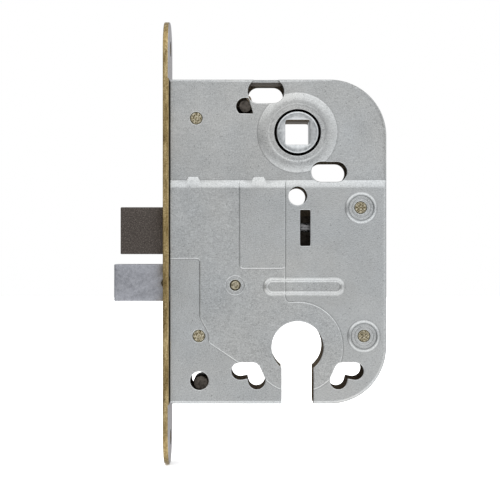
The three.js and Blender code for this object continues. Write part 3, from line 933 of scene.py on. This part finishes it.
class Surface(Nodes):
    """A material's node tree around its main shader."""

    def __init__(self, name):
        self.material = bpy.data.materials.new(name)
        self.material.use_nodes = True
        super().__init__(self.material.node_tree)
        self.shader = self.tree.nodes["Principled BSDF"]
        self.place = self.add("ShaderNodeTexCoord").outputs["Object"]

    def stretched(self, scale, turn=(0, 0, 0)):
        inputs = {"Vector": self.place, "Scale": scale, "Rotation": turn}
        return self.add("ShaderNodeMapping", inputs).outputs[0]

    def noise(self, scale, detail=4, rough=0.55, vector=None, distortion=0.0):
        inputs = {"Vector": vector or self.place, "Scale": scale, "Detail": detail}
        inputs |= {"Roughness": rough, "Distortion": distortion}
        return self.add("ShaderNodeTexNoise", inputs).outputs["Fac"]

    def colours(self, value, *stops):
        """Stops are a position and a screen colour from 0 to 255."""
        return self.ramp(value, *[(position, linear(colour)) for position, colour in stops])

    def grey(self, value, low, high, start=0.3, end=0.7):
        """Spreads the values from start to end over the numbers from low to high."""
        node = self.add("ShaderNodeMapRange", {"Value": value, "From Min": start, "From Max": end,
                                               "To Min": low, "To Max": high})
        return node.outputs["Result"]

    def blend(self, share, first, second, mode="MIX"):
        inputs = {"Factor": share, 6: first, 7: second}  # 6 and 7 are the two colours
        return self.add("ShaderNodeMix", inputs, data_type="RGBA", blend_type=mode).outputs[2]

    def bump(self, height, distance, strength=1.0, normal=None):
        inputs = {"Height": height, "Distance": distance * MM, "Strength": strength}
        if normal is not None:
            inputs["Normal"] = normal
        return self.add("ShaderNodeBump", inputs).outputs["Normal"]

    def finish(self, colour, roughness, normal, metallic=1.0):
        for key, value in (("Base Color", colour), ("Roughness", roughness), ("Normal", normal)):
            self.tree.links.new(value, self.shader.inputs[key])
        self.shader.inputs["Metallic"].default_value = metallic
        return self.material


def zinc_sheet(name, light, dark, rough, metallic=1.0):
    """Zinc-plated sheet: rolled grain, cloudy plating, dark specks, scratches, and painted shade in the creases.
    """
    m = Surface(name)
    cloud = m.noise(70, 4, 0.6)
    grain = m.noise(1, 3, 0.7, m.stretched((700, 2600, 4200)))
    fine = m.noise(3000, 3, 0.7)
    specks = m.noise(1900, 1, 0.5)
    shade = m.blend(0.6, m.blend(0.65, cloud, grain), fine)
    colour = m.colours(shade, (0.36, dark), (0.64, light))
    colour = m.blend(m.grey(specks, 0, 0.55, 0.7, 0.78), colour, linear(scaled(dark, 0.55)))
    scratch = m.noise(1, 2, 0.4, m.stretched((120, 120, 6000), (0, 0.02, 0)))
    colour = m.blend(m.grey(scratch, 0, 0.35, 0.72, 0.78), colour, linear(scaled(light, 1.18)))
    # Painted shade: darker where the case's point attribute marks a crease's hollow foot.
    painted_shade = m.add("ShaderNodeAttribute", attribute_name="crease_shade").outputs["Fac"]
    colour = m.blend(m.grey(painted_shade, 0, 0.62, 0, 1), colour, linear(scaled(dark, 0.42)))
    tint = m.colours(m.noise(38, 3, 0.5), (0.35, (251.6, 253.9, 255)), (0.65, (255, 253.9, 251)))
    colour = m.blend(0.8, colour, tint, "MULTIPLY")
    roughness = m.grey(m.blend(0.8, cloud, fine), *rough)
    normal = m.bump(grain, 0.016, 0.8)
    normal = m.bump(fine, 0.03, 1.0, normal)
    return m.finish(colour, roughness, normal, metallic)


def brass_finish():
    """Dull lacquered brass with darker streaks along the forend and worn spots."""
    m = Surface("brass_forend")
    streak = m.noise(1, 4, 0.6, m.stretched((900, 1500, 160)))
    fine = m.noise(2600, 3, 0.7)
    colour = m.colours(m.blend(0.5, streak, fine),
                       (0.36, (112, 92, 54)), (0.52, (170, 149, 104)), (0.66, (214, 195, 150)))
    colour = m.blend(m.grey(m.noise(420, 3, 0.6), 0, 0.35, 0.62, 0.72), colour, linear((70, 54, 34)))
    roughness = m.grey(streak, 0.3, 0.46)
    return m.finish(colour, roughness, m.bump(fine, 0.02, 0.7, m.bump(streak, 0.015, 0.4)))


def sintered():
    """Dark sintered steel with a fine open grain."""
    m = Surface("sintered_steel")
    grain = m.noise(2400, 4, 0.7)
    pits = m.noise(1500, 2, 0.5)
    colour = m.colours(grain, (0.32, (54, 49, 46)), (0.55, (84, 78, 74)), (0.72, (128, 120, 114)))
    normal = m.bump(grain, 0.03, 0.8)
    normal = m.bump(m.grey(pits, 1, 0, 0.6, 0.72), 0.05, 0.7, normal)
    return m.finish(colour, m.grey(grain, 0.42, 0.62), normal, 0.85)


def cast_zinc():
    """Satin zinc with a mottled, frosted bloom."""
    m = Surface("cast_zinc")
    bloom = m.noise(900, 5, 0.65, distortion=0.4)
    fine = m.noise(3400, 3, 0.65)
    colour = m.colours(m.blend(0.5, bloom, fine), (0.36, (142, 144, 151)), (0.64, (182, 184, 191)))
    normal = m.bump(fine, 0.015, 0.6, m.bump(bloom, 0.02, 0.4))
    return m.finish(colour, m.grey(bloom, 0.34, 0.5), normal)


def turned_steel():
    """Yellow-passivated staked steel, cloudy between a dark and a light shade."""
    m = Surface("turned_steel")
    cloud = m.noise(1400, 3, 0.6)
    colour = m.colours(cloud, (0.35, (128, 119, 94)), (0.65, (204, 197, 176)))
    return m.finish(colour, m.grey(cloud, 0.25, 0.42), m.bump(m.noise(4200, 2), 0.012, 0.5))


def plain_metal(name, light, dark, rough):
    """Cloudy metal between two shades, with a fine tooth."""
    m = Surface(name)
    cloud = m.noise(900, 4, 0.6)
    colour = m.colours(cloud, (0.35, dark), (0.65, light))
    return m.finish(colour, m.grey(cloud, *rough), m.bump(m.noise(4800, 2), 0.012, 0.5))


def dress(thing, material):
    thing.data.materials.clear()
    thing.data.materials.append(material)
    return thing


MATERIALS = {
    "zinc_sheet": zinc_sheet("zinc_sheet", (222, 224, 225), (168, 170, 171), (0.26, 0.38)),
    "brass_forend": brass_finish(),
    "sintered_steel": sintered(),
    "cast_zinc": cast_zinc(),
    "hub_steel": plain_metal("hub_steel", (212, 215, 217), (184, 188, 190), (0.26, 0.4)),
    "turned_steel": turned_steel(),
    "spring_steel": plain_metal("spring_steel", (150, 150, 152), (98, 98, 100), (0.25, 0.4)),
    "dark_steel": plain_metal("dark_steel", (104, 98, 92), (62, 58, 54), (0.4, 0.58)),
}


# Painted shade: a darker sheet for inner faces, where shade falls inside the case.
PAINTED_SHADE_INSIDE = zinc_sheet("painted_shade_inside", (128, 116, 100), (88, 78, 66), (0.5, 0.65), 0.8)
# Black painted shade for gaps and holes, and on the forend beside the case.
PAINTED_BLACK_SHADE = plain_metal("painted_black_shade", (46, 44, 42), (22, 21, 20), (0.5, 0.7))
# Painted shade: darker steel for the latch's tail, seen through the window into the case.
PAINTED_SHADE_STEEL = plain_metal("painted_shade_steel", (62, 57, 52), (30, 27, 24), (0.4, 0.58))
BARE_BACK = zinc_sheet("bare_back", (206, 203, 205), (166, 162, 165), (0.32, 0.46))


# ---------------- faces with a further finish or painted shade

def face_inside(face):
    """Whether a face of the case shell looks into the lock."""
    middle = Vector((40, 0, -36.5)) * MM
    walls = abs(face.normal.y) < 0.3 and face.center.y > -6.0 * MM
    return face.normal.y > 0.7 or (walls and face.normal.dot(face.center - middle) < 0)


def behind_case(face):
    """Whether a face of the forend's back is covered by the case, or in the shaded corner beside it."""
    beside = abs(face.center.y) < (FACE + SHADED_CORNER) * MM
    return beside and BOTTOM * MM < face.center.z < TOP * MM and face.normal.x > 0.3


def beyond_case(face):
    """Whether a face of the forend's back lies above or below the case."""
    return not BOTTOM * MM < face.center.z < TOP * MM and face.normal.x > 0.3


def in_screw_hole(face):
    """Whether a face of the forend belongs to the drilled wall of a hole, not to the forend's rim."""
    below_rim = FOREND_LOW[2] + 3 < face.center.z / MM < FOREND_HIGH[2] - 3
    return below_rim and abs(face.normal.x) < 0.3 and abs(face.center.y) < 6.2 * MM


def line_with(thing, material, chosen):
    """Gives the chosen faces one more material: a further finish or a painted shade."""
    thing.data.materials.append(material)
    for face in thing.data.polygons:
        if chosen(face):
            face.material_index = len(thing.data.materials) - 1
    return thing


def from_hub_axis(face):
    return math.hypot(face.center.x / MM - HUB[0], face.center.z / MM - HUB[1])


def hole_roof(face):
    """The upper wall of the square hole."""
    return from_hub_axis(face) < 6 and face.normal.z < -0.5


def boss_groove(face):
    """The grooves around the two bosses."""
    return HUB_BOSS - 0.02 < from_hub_axis(face) < 8.6 and abs(face.center.y) < (FACE + 0.5) * MM


# ---------------- putting the pieces on their bodies

bodies = frame["record"]["behaviour"]["bodies"]
body_of_node = {node: body for body, nodes in bodies.items() for node in nodes}
slot_of_node = {row["node"]: row["material_slot"] for row in frame["record"]["subparts"]}


def stand_for(thing, node):
    """The piece takes a CAD node's place, body and finish."""
    dress(thing, MATERIALS[slot_of_node[node]])
    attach(thing, body_of_node[node])
    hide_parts(node)
    return thing


def add_plates():
    """The case's two sheets and the forend."""
    # Painted shade on the case's and the cover's inner faces.
    line_with(stand_for(build_case(), "case_body"), PAINTED_SHADE_INSIDE, face_inside)
    line_with(stand_for(build_back_cover(), "back_cover"), PAINTED_SHADE_INSIDE, lambda face: face.normal.y < -0.7)
    forend = line_with(stand_for(build_forend(), "forend"), BARE_BACK, beyond_case)
    # Black painted shade on the forend behind and beside the case, and in its screw holes.
    line_with(forend, PAINTED_BLACK_SHADE, behind_case)
    line_with(forend, PAINTED_BLACK_SHADE, in_screw_hole)


def add_pins():
    """Posts, pins and rivets."""
    for node, turn in zip([*POSTS, "bolt_guide_pin"], (0.7, 0.5, 0.0, 0.06, 0.0)):
        stand_for(build_post(node, turn), node)
    stand_for(build_plain_pin("stop_peg", 2.3), "stop_peg")
    stand_for(build_plain_pin("bottom_spacer", 2.7), "bottom_spacer")
    for node in ("latch_rivet", "deadbolt_rivet"):
        stand_for(build_plain_pin(node, 1.5, 0.2), node)


def add_hub():
    hub = stand_for(build_hub(), "hub")
    # Painted shade on the square hole's upper wall.
    line_with(hub, PAINTED_SHADE_INSIDE, hole_roof)
    # Black painted shade in the grooves round the two bosses.
    line_with(hub, PAINTED_BLACK_SHADE, boss_groove)


def add_case_screws():
    for node in CASE_SCREWS:
        stand_for(build_case_screw(node), node)


def add_bolts():
    """The two bolt heads and the rib on the latch's tail."""
    rib = dress(build_tail_rib(), MATERIALS["spring_steel"])
    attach(rib, body_of_node["latch_tail"])

    low, high = box_mm("latch_head")
    half = high[1]
    bevelled = [(low[0], -half), (high[0], -half), (high[0], half), (-2.5, half), (low[0], 2.6 - half)]
    stand_for(build_bolt("latch_head", bevelled, 0.35), "latch_head")
    low, high = box_mm("deadbolt_head")
    edge = 0.5
    bar = [(low[0], edge - half), (low[0] + edge, -half), (high[0], -half)]
    bar += [(high[0], half), (low[0] + edge, half), (low[0], half - edge)]
    stand_for(build_bolt("deadbolt_head", bar, 0.3), "deadbolt_head")


def add_springs():
    """The two coil springs, each with a mesh of its own."""
    latch_spring = stand_for(build_spring("latch_spring", 0, 5.6, 0.7, 8), "latch_spring")
    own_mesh(latch_spring)
    hub_spring = stand_for(build_spring("hub_spring", 2, 5.0, 0.7, 6), "hub_spring")
    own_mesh(hub_spring)


def dress_kept_nodes():
    """CAD nodes whose shape is right keep it, with softened edges and their own finish, except the latch's tail,
    which gets darker steel as painted shade.
    """
    for node, thing in frame["nodes"].items():
        if thing.hide_render:
            continue
        # The latch's tail gets darker steel as painted shade.
        finish = PAINTED_SHADE_STEEL if node == "latch_tail" else MATERIALS[slot_of_node[node]]
        dress(thing, finish)
        soften_edges(thing, 0.15, 2, 50)


# ---------------- stage, light and camera

CAMERA_GAP = 450  # from the case's face
VIEW_WIDTH = 167.5  # what the picture shows at the case's face
VIEW_CENTRE = (29.05, -39.4)


def build_camera():
    data = bpy.data.cameras.new("camera")
    data.sensor_width = 36
    data.lens = 36 * CAMERA_GAP / VIEW_WIDTH
    data.clip_start, data.clip_end = 0.01, 50
    camera = bpy.data.objects.new("camera", data)
    camera.location = (VIEW_CENTRE[0] * MM, -(FACE + CAMERA_GAP) * MM, VIEW_CENTRE[1] * MM)
    camera.rotation_euler = (math.radians(90), 0, 0)
    bpy.context.scene.collection.objects.link(camera)
    bpy.context.scene.camera = camera


def build_floor():
    """A white floor. The metal mirrors the lower half of the light tent instead of it."""
    half = 1600
    z = cad_box[0][2] / MM
    corners = [(x, y, z) for x, y in rectangle(-half, -half, half, half)]
    floor = add_object("floor", corners, [(0, 1, 2, 3)])
    floor.visible_glossy = False
    m = Surface("pale_floor")
    m.shader.inputs["Base Color"].default_value = (0.95, 0.95, 0.95, 1)
    m.shader.inputs["Roughness"].default_value = 0.9
    floor.data.materials.append(m.material)


def area_light(name, place, target, size, power):
    data = bpy.data.lights.new(name, "AREA")
    data.shape = "RECTANGLE"
    data.size, data.size_y = size
    data.energy = power
    light = bpy.data.objects.new(name, data)
    light.location = place
    light.rotation_euler = (Vector(target) - Vector(place)).to_track_quat("-Z", "Y").to_euler()
    light.visible_glossy = False
    bpy.context.scene.collection.objects.link(light)


def build_light():
    """A light tent: bright above and below, dim on the left and towards the camera, mild behind."""
    world = bpy.data.worlds.new("tent")
    bpy.context.scene.world = world
    world.use_nodes = True
    n = Nodes(world.node_tree)
    n.tree.nodes.clear()

    def greys(value, *stops):
        return n.ramp(value, *[(position, (shade, shade, shade, 1)) for position, shade in stops])

    def blend(share, first, second):
        return n.add("ShaderNodeMix", {"Factor": share, "A": first, "B": second}).outputs[0]

    def spread(value, low, high, **settings):
        inputs = {"Value": value, "From Min": low, "From Max": high}
        return n.add("ShaderNodeMapRange", inputs, **settings).outputs[0]

    away = n.add("ShaderNodeSeparateXYZ", {0: n.add("ShaderNodeTexCoord").outputs["Generated"]}).outputs
    height = n.add("ShaderNodeMath", {0: away["Z"]}, operation="ABSOLUTE").outputs[0]
    across = spread(away["X"], -1, 1)
    behind = spread(away["Y"], -0.3, 0.6, interpolation_type="SMOOTHSTEP")
    sides = greys(across, (0, 0.3), (0.38, 0.36), (0.5, 0.5), (0.56, 0.57), (0.7, 0.8), (1, 0.8))
    rise = greys(height, (0.08, 0), (0.2, 0.3), (0.35, 0.8), (0.5, 1))
    tent = blend(behind, blend(rise, sides, 1.4), 0.6)

    white = {"Color": (1, 1, 1, 1)}
    lit = n.add("ShaderNodeBackground", {**white, "Strength": tent}).outputs[0]
    plain = n.add("ShaderNodeBackground", white).outputs[0]
    seen = n.add("ShaderNodeLightPath").outputs["Is Camera Ray"]
    backdrop = n.add("ShaderNodeMixShader", {"Fac": seen, 1: lit, 2: plain}).outputs[0]
    n.add("ShaderNodeOutputWorld", {"Surface": backdrop})

    area_light("floor_light", (0.03, 0.3, 1.6), (0.03, 0.3, -0.11), (3, 3), 90)
    bpy.context.scene.view_settings.view_transform = "Standard"


build_camera()
build_floor()
build_light()
add_plates()
add_pins()
add_hub()
add_case_screws()
add_bolts()
add_springs()
dress_kept_nodes()

bpy.context.view_layer.update()
